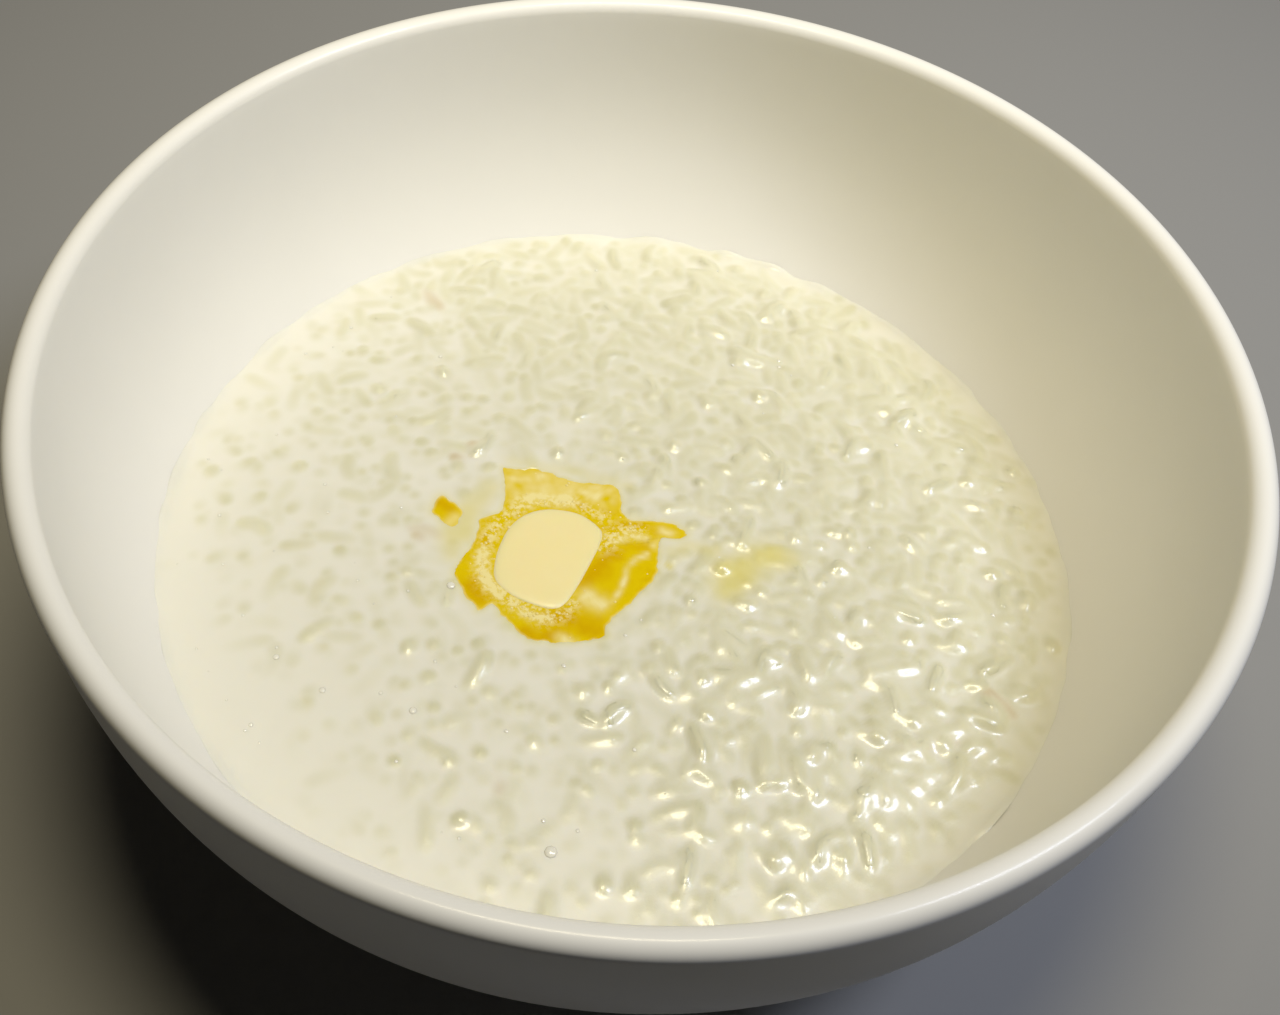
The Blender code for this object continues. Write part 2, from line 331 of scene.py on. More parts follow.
def milk_material():
    """Milk that shows the grains just under it. Painted values: how much a grain shows, how
    pale that grain is, how much melted butter has spread there, and how brown the grain is."""
    shader = Shader("milk_rice")
    shown, pale, stain, tint = shader.painted("shade")
    cloud = shader.noise(120, 4, 0.6)
    milk = shader.mix(cloud, MILK, MILK_DEEP)
    grain = shader.mix(tint, shader.mix(pale, GRAIN, GRAIN_PALE), TINT)
    wet = shader.mix(shown, milk, grain)
    shader.colour(shader.mix(stain, wet, STAIN))
    shader.rough(shader.ramp(shader.noise(300, 2), 0.29, 0.38))
    shader.bump(shader.math("MULTIPLY", shader.noise(900, 3, 0.6), shown), 0.00006)
    shader.set(Coat_Weight=0.4, Coat_Roughness=0.12)
    shader.set(Subsurface_Weight=0.25, Subsurface_Scale=0.0012)
    shader.surface.inputs["Subsurface Radius"].default_value = (1.0, 0.8, 0.5)
    return shader.material


def grain_material():
    """Cooked rice. Painted values: how pale the grain is, how brown it is, and how much melted
    butter lies on it."""
    shader = Shader("cooked_rice")
    pale, tint, stain, _ = shader.painted("shade")
    mottled = shader.math("ADD", pale, shader.ramp(shader.noise(500, 3), -0.25, 0.25))
    grain = shader.mix(mottled, GRAIN, GRAIN_PALE)
    tinted = shader.mix(tint, grain, TINT)
    shader.colour(shader.mix(stain, tinted, STAIN))
    shader.rough(shader.ramp(shader.noise(400, 2), 0.28, 0.36))
    shader.bump(shader.noise(700, 3, 0.6), 0.00008)
    shader.set(Coat_Weight=0.45, Coat_Roughness=0.1)
    shader.set(Subsurface_Weight=0.3, Subsurface_Scale=0.0015)
    shader.surface.inputs["Subsurface Radius"].default_value = (1.0, 0.85, 0.5)
    return shader.material


def butter_material():
    shader = Shader("butter")
    cloud = shader.noise(160, 4, 0.55)
    shader.colour(shader.mix(cloud, (0.86, 0.74, 0.36), (0.88, 0.77, 0.42)))
    shader.rough(shader.ramp(shader.noise(260, 2), 0.32, 0.45))
    shader.bump(shader.noise(420, 3), 0.00005)
    shader.set(Subsurface_Weight=0.3, Subsurface_Scale=0.003)
    shader.surface.inputs["Subsurface Radius"].default_value = (1.0, 0.7, 0.25)
    return shader.material


def oil_material():
    """Melted butter. Painted values: how much milk clouds it, how deep it is, and how much
    fine foam floats on it."""
    shader = Shader("melted_butter")
    cloudy, deep, foam, _ = shader.painted("shade")
    gold = shader.mix(deep, (0.72, 0.53, 0.002), (0.64, 0.40, 0.001))
    specks = shader.ramp(shader.noise(1100, 3, 0.6), 0.0, 1.0, (0.44, 0.58))
    clouded = shader.math("ADD", cloudy, shader.math("MULTIPLY", specks, foam))
    shader.colour(shader.mix(clouded, gold, (0.84, 0.73, 0.33)))
    shader.rough(shader.ramp(cloudy, 0.12, 0.25))
    shader.bump(shader.noise(260, 2), 0.00004)
    shader.set(Specular_IOR_Level=0.35, Coat_Weight=0.3, Coat_Roughness=0.04)
    return shader.material


def foam_material():
    shader = Shader("butter_foam")
    shader.colour(shader.mix(shader.noise(600, 2), (0.76, 0.61, 0.16), (0.82, 0.70, 0.32)))
    shader.rough(shader.ramp(shader.noise(500, 2), 0.28, 0.4))
    return shader.material


def bubble_material_with_painted_foot_shade():
    """Milk bubbles, with painted shade round their foot. Painted value: 1 where the bubble meets the
    milk, 0 on its crown; the colour darkens with it there as painted shade.
    """
    shader = Shader("milk_bubble")
    rim, _, _, _ = shader.painted("shade")
    # Painted shade: the colour darkens towards the foot, where the bubble meets the milk.
    uneven = shader.math("MULTIPLY", rim, shader.ramp(shader.noise(800, 2), 0.5, 1.0))
    shader.colour(shader.mix(uneven, MILK, (0.64, 0.61, 0.50)))
    shader.rough(shader.ramp(shader.noise(500, 2), 0.1, 0.2))
    shader.set(Coat_Weight=0.6, Coat_Roughness=0.04)
    return shader.material


# --- the bowl ---


def wall_point(turn, inset):
    """(radius, height) of the wall's outside moved inwards by inset. turn runs from 0 at the
    rim to a quarter turn at the middle of the bottom."""
    depth = BODY_DEPTH * math.sin(turn)
    radius = RIM_RADIUS * math.sqrt(max(1 - math.sin(turn) ** SIDE_FULLNESS, 0))
    steep = 2 * radius / RIM_RADIUS**2
    flat = SIDE_FULLNESS * depth ** (SIDE_FULLNESS - 1) / BODY_DEPTH**SIDE_FULLNESS
    scale = inset / math.hypot(steep, flat)
    return max(radius - steep * scale, 0), RIM_HEIGHT - depth + flat * scale


def search(too_far):
    """The turn between 0 and a quarter turn at which too_far(turn) changes to true."""
    low, high = 0, math.pi / 2
    for _ in range(40):
        middle = (low + high) / 2
        if too_far(middle):
            high = middle
        else:
            low = middle
    return low


def corner(centre, start, end, steps):
    """Points of a rounded corner of the foot ring, with angles in quarter turns."""
    points = []
    for step in range(steps + 1):
        angle = math.pi / 2 * (start + (end - start) * step / steps)
        radius = centre[0] + FOOT_ROUND * math.cos(angle)
        points.append((radius, centre[1] + FOOT_ROUND * math.sin(angle)))
    return points


def make_bowl():
    wall_steps, lip_steps, segments = 70, 18, 256
    foot_turn = search(lambda turn: wall_point(turn, 0)[0] < FOOT_RADIUS)
    outer_foot = FOOT_RADIUS - FOOT_DRAFT - FOOT_ROUND
    inner_foot = FOOT_RADIUS - FOOT_DRAFT - FOOT_WIDTH + FOOT_ROUND
    profile = [(0.0, FOOT_RECESS)]
    profile += [(inner_foot - FOOT_ROUND - 1.2 * MM, FOOT_RECESS)]
    profile += corner((inner_foot, FOOT_ROUND), -2, -1, 5)
    profile += corner((outer_foot, FOOT_ROUND), -1, 0, 5)
    for step in range(wall_steps + 1):
        profile.append(wall_point(foot_turn * (1 - step / wall_steps), 0))
    for step in range(1, lip_steps):
        angle = math.pi * step / lip_steps
        across = WALL / 2 * math.cos(angle)
        up = WALL / 2 * math.sin(angle)
        profile.append((RIM_RADIUS - WALL / 2 + across, RIM_HEIGHT + up))
    for step in range(wall_steps + 1):
        profile.append(wall_point(math.pi / 2 * step / wall_steps, WALL))
    rings = np.array(profile[1:-1])
    angles = math.tau * np.arange(segments) / segments
    x = rings[:, :1] * np.cos(angles)
    y = rings[:, :1] * np.sin(angles)
    z = np.repeat(rings[:, 1:], segments, axis=1)
    points = np.stack([x, y, z], axis=-1).reshape(-1, 3).tolist()
    faces = ring_quads(len(rings), segments).tolist()
    for (_, height), ring, turn in ((profile[0], 0, 1), (profile[-1], len(rings) - 1, -1)):
        points.append((0, 0, height))
        for i in range(segments):
            pair = [ring * segments + i, ring * segments + (i + 1) % segments][::turn]
            faces.append((len(points) - 1, pair[1], pair[0]))
    bowl = make_piece("glazed_bowl", points, faces)
    bowl.data.set_sharp_from_angle(angle=math.radians(50))
    bowl.data.materials.append(glaze_material())
    return bowl


# --- where things are on the surface ---



def distance_to_outline(x, y, outline):
    """Signed distance to a closed outline, negative inside it. x and y are arrays."""
    nearest = np.full(x.shape, np.inf)
    inside = np.zeros(x.shape, bool)
    for (ax, ay), (bx, by) in zip(outline, np.roll(outline, 1, axis=0)):
        dx, dy = bx - ax, by - ay
        along = np.clip(((x - ax) * dx + (y - ay) * dy) / (dx * dx + dy * dy), 0, 1)
        nearest = np.minimum(nearest, np.hypot(x - ax - along * dx, y - ay - along * dy))
        if ay != by:
            crossing = ((ay > y) != (by > y)) & (x < ax + (y - ay) * dx / dy)
            inside ^= crossing
    return np.where(inside, -nearest, nearest)


def smooth_outline(corners, per_side, softness=1.0):
    """A closed curve through the corners, with per_side points on each side. A softness of 1
    rounds it fully, and 0 leaves it straight between the corners."""
    a, b, c, d = (np.roll(corners, 1 - k, axis=0)[:, None] for k in range(4))
    t = (np.arange(per_side) / per_side)[None, :, None]
    curve = b * 2 + (c - a) * t + (a * 2 - b * 5 + c * 4 - d) * t**2
    curve = (curve + (b * 3 - a - c * 3 + d) * t**3) / 2
    straight = b + (c - b) * t
    return (straight + (curve - straight) * softness).reshape(-1, 2)


def shrink(curve, inset):
    """The closed curve moved inwards by inset."""
    along = np.roll(curve, -1, axis=0) - np.roll(curve, 1, axis=0)
    along /= np.hypot(*along.T)[:, None]
    area = np.sum(curve[:, 0] * np.roll(curve[:, 1], -1) - curve[:, 1] * np.roll(curve[:, 0], -1))
    inwards = np.stack([-along[:, 1], along[:, 0]], axis=-1) * math.copysign(1, area)
    return curve + inwards * inset


def roughen(curve, centre):
    """The curve with small bays towards its centre, as the edge of melted butter has."""
    bays = np.array([noise.noise(Vector((x, y, 0)) / BAY_SIZE) * BAY_DEPTH for x, y in curve])
    outwards = curve - np.array(centre)
    return curve + outwards * (bays / np.hypot(*outwards.T))[:, None]


PAT_CURVE = smooth_outline(np.array(PAT_OUTLINE) * MM, 8)
POOL_CURVE = roughen(smooth_outline(np.array(POOL_OUTLINE) * MM, 8, 0.5), PAT_CENTRE)
DROP_CENTRE = np.array(DROP_OUTLINE).mean(axis=0) * MM
DROP_CURVE = roughen(smooth_outline(np.array(DROP_OUTLINE) * MM, 8), DROP_CENTRE)


def strokes(x, y, table):
    """How strongly the strokes of the table cover the places x, y."""
    total = np.zeros(x.shape)
    for half_width, strength, places in table:
        nearest = np.full(x.shape, np.inf)
        for (ax, ay), (bx, by) in zip(places, places[1:]):
            ax, ay, dx, dy = ax * MM, ay * MM, (bx - ax) * MM, (by - ay) * MM
            along = np.clip(((x - ax) * dx + (y - ay) * dy) / (dx * dx + dy * dy), 0, 1)
            nearest = np.minimum(nearest, np.hypot(x - ax - along * dx, y - ay - along * dy))
        cover = strength * np.exp(-((nearest / (half_width * MM)) ** 2))
        total = total + cover - total * cover
    return total


# --- the rice and the milk ---

EDGE_ANGLES = math.tau * np.arange(361) / 360


def edge_radius(angle):
    """Radius at which the milk meets the wall in this direction."""

    def below(turn):
        radius, height = wall_point(turn, WALL)
        return height < level(radius * math.cos(angle), radius * math.sin(angle))

    return wall_point(search(below), WALL)[0]


EDGE_RADII = np.array([edge_radius(angle) for angle in EDGE_ANGLES])
REACH = float(EDGE_RADII.max()) + 5 * MM
AXIS = np.linspace(-REACH, REACH, int(2 * REACH / RASTER) + 1)
CELL = AXIS[1] - AXIS[0]
FIELD_X, FIELD_Y = np.meshgrid(AXIS, AXIS, indexing="ij")


def sample(field, x, y):
    """Values of a field of the raster between its points. x and y are arrays."""
    i = np.clip((x - AXIS[0]) / CELL, 0, len(AXIS) - 1.001)
    j = np.clip((y - AXIS[0]) / CELL, 0, len(AXIS) - 1.001)
    a, b = i.astype(int), j.astype(int)
    s, t = i - a, j - b
    low = field[a, b] * (1 - t) + field[a, b + 1] * t
    high = field[a + 1, b] * (1 - t) + field[a + 1, b + 1] * t
    return low * (1 - s) + high * s


def at(field, x, y):
    """The field's value at the raster point next to one place."""
    return float(field[int((x - AXIS[0]) / CELL), int((y - AXIS[0]) / CELL)])


def blur(field, radius):
    """Gaussian blur of a field over the raster."""
    reach = int(math.ceil(3 * radius / CELL))
    weights = np.exp(-((np.arange(-reach, reach + 1) * CELL) ** 2) / (2 * radius**2))
    weights /= weights.sum()
    for axis in (0, 1):
        border = [(0, 0), (0, 0)]
        border[axis] = (reach, reach)
        padded = np.pad(field, border, "edge")
        total = np.zeros_like(field)
        for k, weight in enumerate(weights):
            window = [slice(None), slice(None)]
            window[axis] = slice(k, k + field.shape[axis])
            total += weight * padded[tuple(window)]
        field = total
    return field


def cloud_field(size, seed):
    """Soft random values over the raster, with spots of about this size. Mean 0, spread 1."""
    source = np.random.default_rng(seed).normal(size=FIELD_X.shape)
    field = blur(source, size / 2.5)
    return (field - field.mean()) / field.std()


def edge_distance(x, y):
    """Distance from the wall, along the milk."""
    angle = np.arctan2(y, x) % math.tau
    return np.interp(angle, EDGE_ANGLES, EDGE_RADII) - np.hypot(x, y)


STILL = level(FIELD_X, FIELD_Y)
EDGE_FIELD = edge_distance(FIELD_X, FIELD_Y)
BUTTER_FIELD = np.minimum(
    distance_to_outline(FIELD_X, FIELD_Y, POOL_CURVE),
    distance_to_outline(FIELD_X, FIELD_Y, DROP_CURVE),
)
PATCHES = cloud_field(11 * MM, SEED)


def fade_along(heading, start, end):
    """0 before start and 1 past end, along a heading in degrees across the surface."""
    turn = math.radians(heading)
    along = FIELD_X * math.cos(turn) + FIELD_Y * math.sin(turn)
    return smoothstep(start, end, along + 4 * MM * PATCHES)


MILKY_FIELD = fade_along(205, -5 * MM, 50 * MM)  # milk covers the rice more deeply to the left
PLAIN_FIELD = fade_along(226, 50 * MM, 66 * MM)  # plain milk in the near left corner
BUMPY_FIELD = fade_along(0, -10 * MM, 32 * MM)  # rice stands out most to the right
CALM_FIELD = fade_along(-100, 22 * MM, 52 * MM)  # and less so on the near side
DENSE_FIELD = fade_along(40, -25 * MM, 30 * MM)  # and lies closest at the far right


def cover_depth():
    """How far below the milk the tops of the grains lie on average. Negative above it."""
    depth = -0.29 * MM + 0.46 * MM * MILKY_FIELD + 0.5 * MM * PLAIN_FIELD
    depth -= 0.30 * MM * BUMPY_FIELD - 0.10 * MM * CALM_FIELD
    band = 2.4 * MM + 3.4 * MM * MILKY_FIELD + 4.5 * MM * BUMPY_FIELD
    depth += 0.9 * MM * smoothstep(band, 1.0 * MM, EDGE_FIELD)
    return depth + 2.0 * MM * smoothstep(0, -1 * MM, BUTTER_FIELD)


COVER_FIELD = cover_depth()


SPINE = np.linspace(-0.84, 0.84, 10)


class Grain:
    """One cooked grain: a blunt, slightly bent rod. It knows its spine and thickness."""

    def __init__(self, x, y, cover, steep):
        heading = rng.uniform(0, math.tau)
        pitch = rng.uniform(0.5, 1.35) if steep else rng.normal(0, 0.15)
        flat = np.array([math.cos(heading), math.sin(heading), 0])
        self.axis = flat * math.cos(pitch) + np.array([0, 0, math.sin(pitch)])
        self.side = np.array([-flat[1], flat[0], 0])
        self.half_length = rng.uniform(*GRAIN_LENGTH) / 2
        self.half_width = rng.uniform(*GRAIN_WIDTH) / 2
        self.bend = rng.normal(0, 0.18) * self.half_width
        self.pale = rng.uniform(0, 1)
        self.tint = 0.0
        self.middle = np.array([x, y, 0.0])
        places, widths = self.spine(SPINE)
        crown = (places[:, 2] + widths).max()
        self.middle[2] = float(level(x, y)) - cover - crown

    def spine(self, along):
        """Places on the grain's middle line, and its half width there. along is -1 to 1."""
        bow = self.bend * (1 - 2 * along**2)
        places = self.middle + np.outer(along * self.half_length, self.axis)
        places = places + np.outer(bow, self.side)
        return places, self.half_width * np.sqrt(1 - np.abs(along) ** 5)

    def top(self, x, y):
        """Height of the grain's upper side over places x, y. -inf beside it."""
        height = np.full(x.shape, -np.inf)
        for (px, py, pz), width in zip(*self.spine(SPINE)):
            inside = width**2 - (x - px) ** 2 - (y - py) ** 2
            ball = np.where(inside > 0, pz + np.sqrt(np.maximum(inside, 0)), -np.inf)
            height = np.maximum(height, ball)
        return height


STEEP_FAR, STEEP_NEAR, STEEP_LEFT = 0.25, 0.25, 0.25  # shares of the grains that stand on end


def scatter_grains(tries, spacing, deeper):
    """Grains over the whole surface, no closer to each other than a share of their width."""
    grains = []
    bucket = 4 * MM
    taken = {}
    for _ in range(tries):
        x, y = rng.uniform(-REACH, REACH, 2)
        if math.hypot(x, y) > REACH - 6 * MM:
            continue
        if rng.uniform() < 0.9 * at(MILKY_FIELD, x, y) + 0.1 * at(PLAIN_FIELD, x, y):
            continue
        cover = at(COVER_FIELD, x, y) + deeper + rng.normal(0, 0.30 * MM)
        steep = STEEP_FAR + STEEP_NEAR * float(smoothstep(40 * MM, -10 * MM, y))
        steep += STEEP_LEFT * at(MILKY_FIELD, x, y)
        grain = Grain(x, y, cover, rng.uniform() < steep)
        spine = grain.spine(np.array([-0.6, 0, 0.6]))[0][:, :2].tolist()
        if min(at(EDGE_FIELD, *p) for p in spine) < 1.3 * MM:
            continue
        butter = min(at(BUTTER_FIELD, *p) for p in spine)
        grain.middle[2] -= 0.9 * MM * float(smoothstep(1.8 * MM, 0.3 * MM, butter))
        clear = spacing * 2 * grain.half_width
        cells = [(int(p[0] // bucket), int(p[1] // bucket)) for p in spine]
        near = [
            other
            for i, j in set(cells)
            for k in (-1, 0, 1)
            for m in (-1, 0, 1)
            for other in taken.get((i + k, j + m), ())
        ]
        if any(math.hypot(p[0] - q[0], p[1] - q[1]) < clear for p in spine for q in near):
            continue
        for cell, place in zip(cells, spine):
            taken.setdefault(cell, []).append(place)
        grains.append(grain)
    return grains


def lay_grains(grains):
    """(height of the highest grain, its number) over the raster, -inf and -1 where none lies."""
    height = np.full(FIELD_X.shape, -np.inf)
    owner = np.full(FIELD_X.shape, -1)
    for number, grain in enumerate(grains):
        reach = grain.half_length + 0.3 * MM
        i0, i1 = np.searchsorted(AXIS, (grain.middle[0] - reach, grain.middle[0] + reach))
        j0, j1 = np.searchsorted(AXIS, (grain.middle[1] - reach, grain.middle[1] + reach))
        top = grain.top(FIELD_X[i0:i1, j0:j1], FIELD_Y[i0:i1, j0:j1])
        higher = top > height[i0:i1, j0:j1]
        height[i0:i1, j0:j1][higher] = top[higher]
        owner[i0:i1, j0:j1][higher] = number
    return height, owner


SKIRT_DEPTHS = (6 * MM, 14 * MM, 22 * MM)  # where the milk's hidden side has its rings
DRAPE = 0.66 * MM  # the milk's skin rounds off what lies under it by this much
FILM = 0.19 * MM  # milk over the grains that stand out of it
FILLET = 0.2 * MM  # how softly the milk climbs the grains
FADE = 0.6 * MM  # depth of milk in which a grain fades from sight
HALO = 0.6 * MM  # how far the melted butter stains the milk round it
HAZE = 0.18  # how much of the deeper rice shows between the grains where they lie closest


class Surface:
    """The milk's height map, and how much of the grains shows through it."""

    def __init__(self, grains):
        top, self.owner = lay_grains(grains)
        draped = blur(np.maximum(top, STILL - 0.7 * MM), DRAPE) + FILM
        rise = (draped - STILL) / FILLET
        ripple = cloud_field(2.2 * MM, SEED + 1) * 0.006 * MM
        ripple += cloud_field(7 * MM, SEED + 2) * 0.025 * MM
        self.milk = STILL + ripple + FILLET * np.logaddexp(0, rise)
        self.top = top
        depth = np.where(np.isfinite(top), self.milk - top, 3 * MM)
        shown = blur(np.exp(-np.clip(depth, 0, None) / FADE), 0.2 * MM)
        haze = HAZE * DENSE_FIELD * np.clip(1 + 0.3 * cloud_field(4 * MM, SEED + 3), 0, 1.6)
        self.shown = 1 - (1 - shown) * (1 - np.clip(haze, 0, 1))
        pale = np.array([grain.pale for grain in grains] + [0.5])
        tint = np.array([grain.tint for grain in grains] + [0.0])
        self.pale = blur(pale[self.owner], 0.3 * MM)
        self.tint = blur(tint[self.owner], 0.3 * MM)


def disc_points(cells):
    """A square grid of points drawn out to a disc of radius 1, nearly evenly."""
    line = np.linspace(-1, 1, cells + 1)
    a, b = np.meshgrid(line, line, indexing="ij")
    wide = np.abs(a) > np.abs(b)
    radius = np.where(wide, a, b)
    safe = np.where(radius == 0, 1, radius)
    angle = np.where(wide, math.pi / 4 * b / safe, math.pi / 2 - math.pi / 4 * a / safe)
    return radius * np.cos(angle), radius * np.sin(angle)


def make_milk(surface):
    u, v = disc_points(DISC_CELLS)
    share = np.hypot(u, v)
    angle = np.arctan2(v, u) % math.tau
    edge = np.interp(angle, EDGE_ANGLES, EDGE_RADII)
    x = share * (edge + INTO_WALL) * np.cos(angle)
    y = share * (edge + INTO_WALL) * np.sin(angle)
    distance = np.clip(edge - np.hypot(x, y), 0, None)
    height = sample(surface.milk, x, y)
    uneven = 1 + 0.5 * sample(cloud_field(4 * MM, SEED + 4), x, y)
    height = height + MENISCUS_HEIGHT * uneven * np.exp(-distance / MENISCUS_REACH)
    butter = np.minimum(
        distance_to_outline(x, y, POOL_CURVE), distance_to_outline(x, y, DROP_CURVE)
    )
    height = height - 0.4 * MM * smoothstep(-0.1 * MM, -0.9 * MM, butter)
    points = np.stack([x, y, height], axis=-1).reshape(-1, 3)
    size = DISC_CELLS + 1
    i, j = np.meshgrid(np.arange(DISC_CELLS), np.arange(DISC_CELLS), indexing="ij")
    corner_number = i * size + j
    quads = np.stack(
        [corner_number, corner_number + size, corner_number + size + 1, corner_number + 1], axis=-1
    ).reshape(-1, 4)

    # The skirt goes down inside the wall, and a flat bottom closes it.
    line = np.arange(DISC_CELLS)
    rim = np.concatenate(
        [
            line * size,
            DISC_CELLS * size + line,
            (DISC_CELLS - line) * size + DISC_CELLS,
            DISC_CELLS - line,
        ]
    )
    rings = [rim]
    for depth in SKIRT_DEPTHS:
        ring_angle = np.arctan2(points[rim, 1], points[rim, 0])
        ring_height = points[rim, 2].mean() - depth
        turn = search(lambda t: wall_point(t, WALL)[1] < ring_height)
        radius = wall_point(turn, WALL)[0] + INTO_WALL
        ring = np.stack(
            [radius * np.cos(ring_angle), radius * np.sin(ring_angle), ring_angle * 0 + ring_height],
            axis=-1,
        )
        rings.append(len(points) + np.arange(len(rim)))
        points = np.concatenate([points, ring])
    for upper, lower in zip(rings, rings[1:]):
        skirt = np.stack([upper, np.roll(upper, -1), np.roll(lower, -1), lower], axis=-1)
        quads = np.concatenate([quads, skirt[:, ::-1]])
    lowest = rings[-1]
    middle = len(points)
    points = np.concatenate([points, [[0, 0, points[lowest, 2].mean()]]])
    fan = [np.roll(lowest, -k)[::2] for k in (2, 1, 0)]
    bottom = np.stack([np.full(len(fan[0]), middle), *fan], axis=-1)
    milk = make_grid_piece("milk_surface", points, np.concatenate([quads, bottom]))

    shown = sample(surface.shown, points[:, 0], points[:, 1])
    pale = sample(surface.pale, points[:, 0], points[:, 1])
    tint = sample(surface.tint, points[:, 0], points[:, 1])
    outside = np.concatenate([butter.ravel(), np.full(len(points) - butter.size, REACH)])
    halo = 0.5 * np.exp(-np.clip(outside, 0, None) / HALO)
    stain = np.maximum(strokes(points[:, 0], points[:, 1], MILK_STAINS), halo)
    paint(milk, "shade", np.stack([shown, pale, stain, tint], axis=-1))
    milk.data.set_sharp_from_angle(angle=math.radians(60))
    milk.data.materials.append(milk_material())
    return milk


def make_rice(grains, surface):
    """The grains that stand out of the milk, as one mesh."""
    around, rows = 10, 9
    along = -np.cos(math.pi * (np.arange(rows) + 0.5) / rows)
    roll = math.tau * np.arange(around) / around
    bare = surface.top > surface.milk - 0.05 * MM
    numbers = np.unique(surface.owner[bare])
    points, quads, shades = [], [], []
    start = 0
    for number in numbers[numbers >= 0]:
        grain = grains[number]
        across = np.cross(grain.axis, grain.side)
        spoke = np.cos(roll)[:, None] * grain.side + np.sin(roll)[:, None] * across
        places, widths = grain.spine(along)
        uneven = widths[:, None] * (1 + 0.02 * rng.normal(size=(rows, around)))
        ring = (places[:, None] + uneven[..., None] * spoke).reshape(-1, 3)
        tips = grain.spine(np.array([-1, 1]))[0]
        count = len(ring)
        body = [ring_quads(rows, around)]
        for i in range(0, around, 2):
            a, b, c = i, (i + 1) % around, (i + 2) % around
            last = count - around
            body.append([[count, c, b, a], [count + 1, last + a, last + b, last + c]])
        quads.append(np.concatenate(body) + start)
        points.append(np.concatenate([ring, tips]))
        shades.append(np.tile([grain.pale, grain.tint, 0, 1], (count + 2, 1)))
        start += count + 2
    points = np.concatenate(points)
    shades = np.concatenate(shades)
    shades[:, 2] = strokes(points[:, 0], points[:, 1], MILK_STAINS)
    rice = make_grid_piece("rice_grains", points, np.concatenate(quads))
    paint(rice, "shade", shades)
    rice.data.materials.append(grain_material())
    return rice


# --- the butter ---


def make_mound(name, curve, centre, layers, material):
    """A closed mound over the outline curve. Each layer gives how far the outline draws in
    towards the centre, as a share, and its height over the milk, in millimetres."""
    points = []
    for inset, lift in layers:
        outline = curve + (np.array(centre) - curve) * inset
        heights = level(outline[:, 0], outline[:, 1]) + lift * MM
        points.append(np.column_stack([outline, heights]))
    points = np.concatenate(points)
    softness = [noise.noise(Vector(p) / (5 * MM)) * 0.2 * layers[-1][1] * MM for p in points]
    points[:, 2] += np.array(softness)
    count = len(curve)
    faces = ring_quads(len(layers), count)[:, ::-1].tolist()
    faces.append(tuple(range(count)))
    faces.append(tuple(range(len(points) - count, len(points)))[::-1])
    mound = make_piece(name, points, faces)
    mound.data.materials.append(material)
    return mound


def make_pat():
    layers = [(0.20, -4.0), (0.08, -3.6), (0.0, -3.0), (0.0, -0.1)]
    for step in range(1, 11):
        angle = math.pi / 2 * step / 10
        layers.append((0.26 * (1 - math.cos(angle)), -0.1 + 0.55 * math.sin(angle)))
    layers += [(0.4, 0.50), (0.55, 0.54), (0.7, 0.57), (0.85, 0.59)]
    return make_mound("butter_block", PAT_CURVE, PAT_CENTRE, layers, butter_material())


def make_drop():
    """The separate drop of melted butter on the pool's left."""
    layers = [(0.0, -1.0), (0.0, -0.04)]
    for step in range(1, 9):
        angle = math.pi / 2 * step / 8
        layers.append((0.6 * (1 - math.cos(angle)), -0.04 + 0.16 * math.sin(angle)))
    layers += [(0.75, 0.125), (0.9, 0.13)]
    drop = make_mound("melted_drop", DROP_CURVE, DROP_CENTRE, layers, oil_material())
    x, y, _ = np.array([point.co for point in drop.data.vertices]).T
    rim = np.repeat([max(0.6 - inset * 3, 0) for inset, _ in layers], len(DROP_CURVE))
    cloudy = np.maximum(strokes(x, y, POOL_CLOUDS), rim)
    paint(drop, "shade", np.stack([cloudy, strokes(x, y, POOL_DEPTHS), x * 0, x * 0], axis=-1))
    return drop


FILM_HEIGHT = 0.13 * MM
FILM_EDGE = 1.3 * MM
SOFT_EDGE = 0.5 * MM  # the melted butter pales out towards its edge over this width


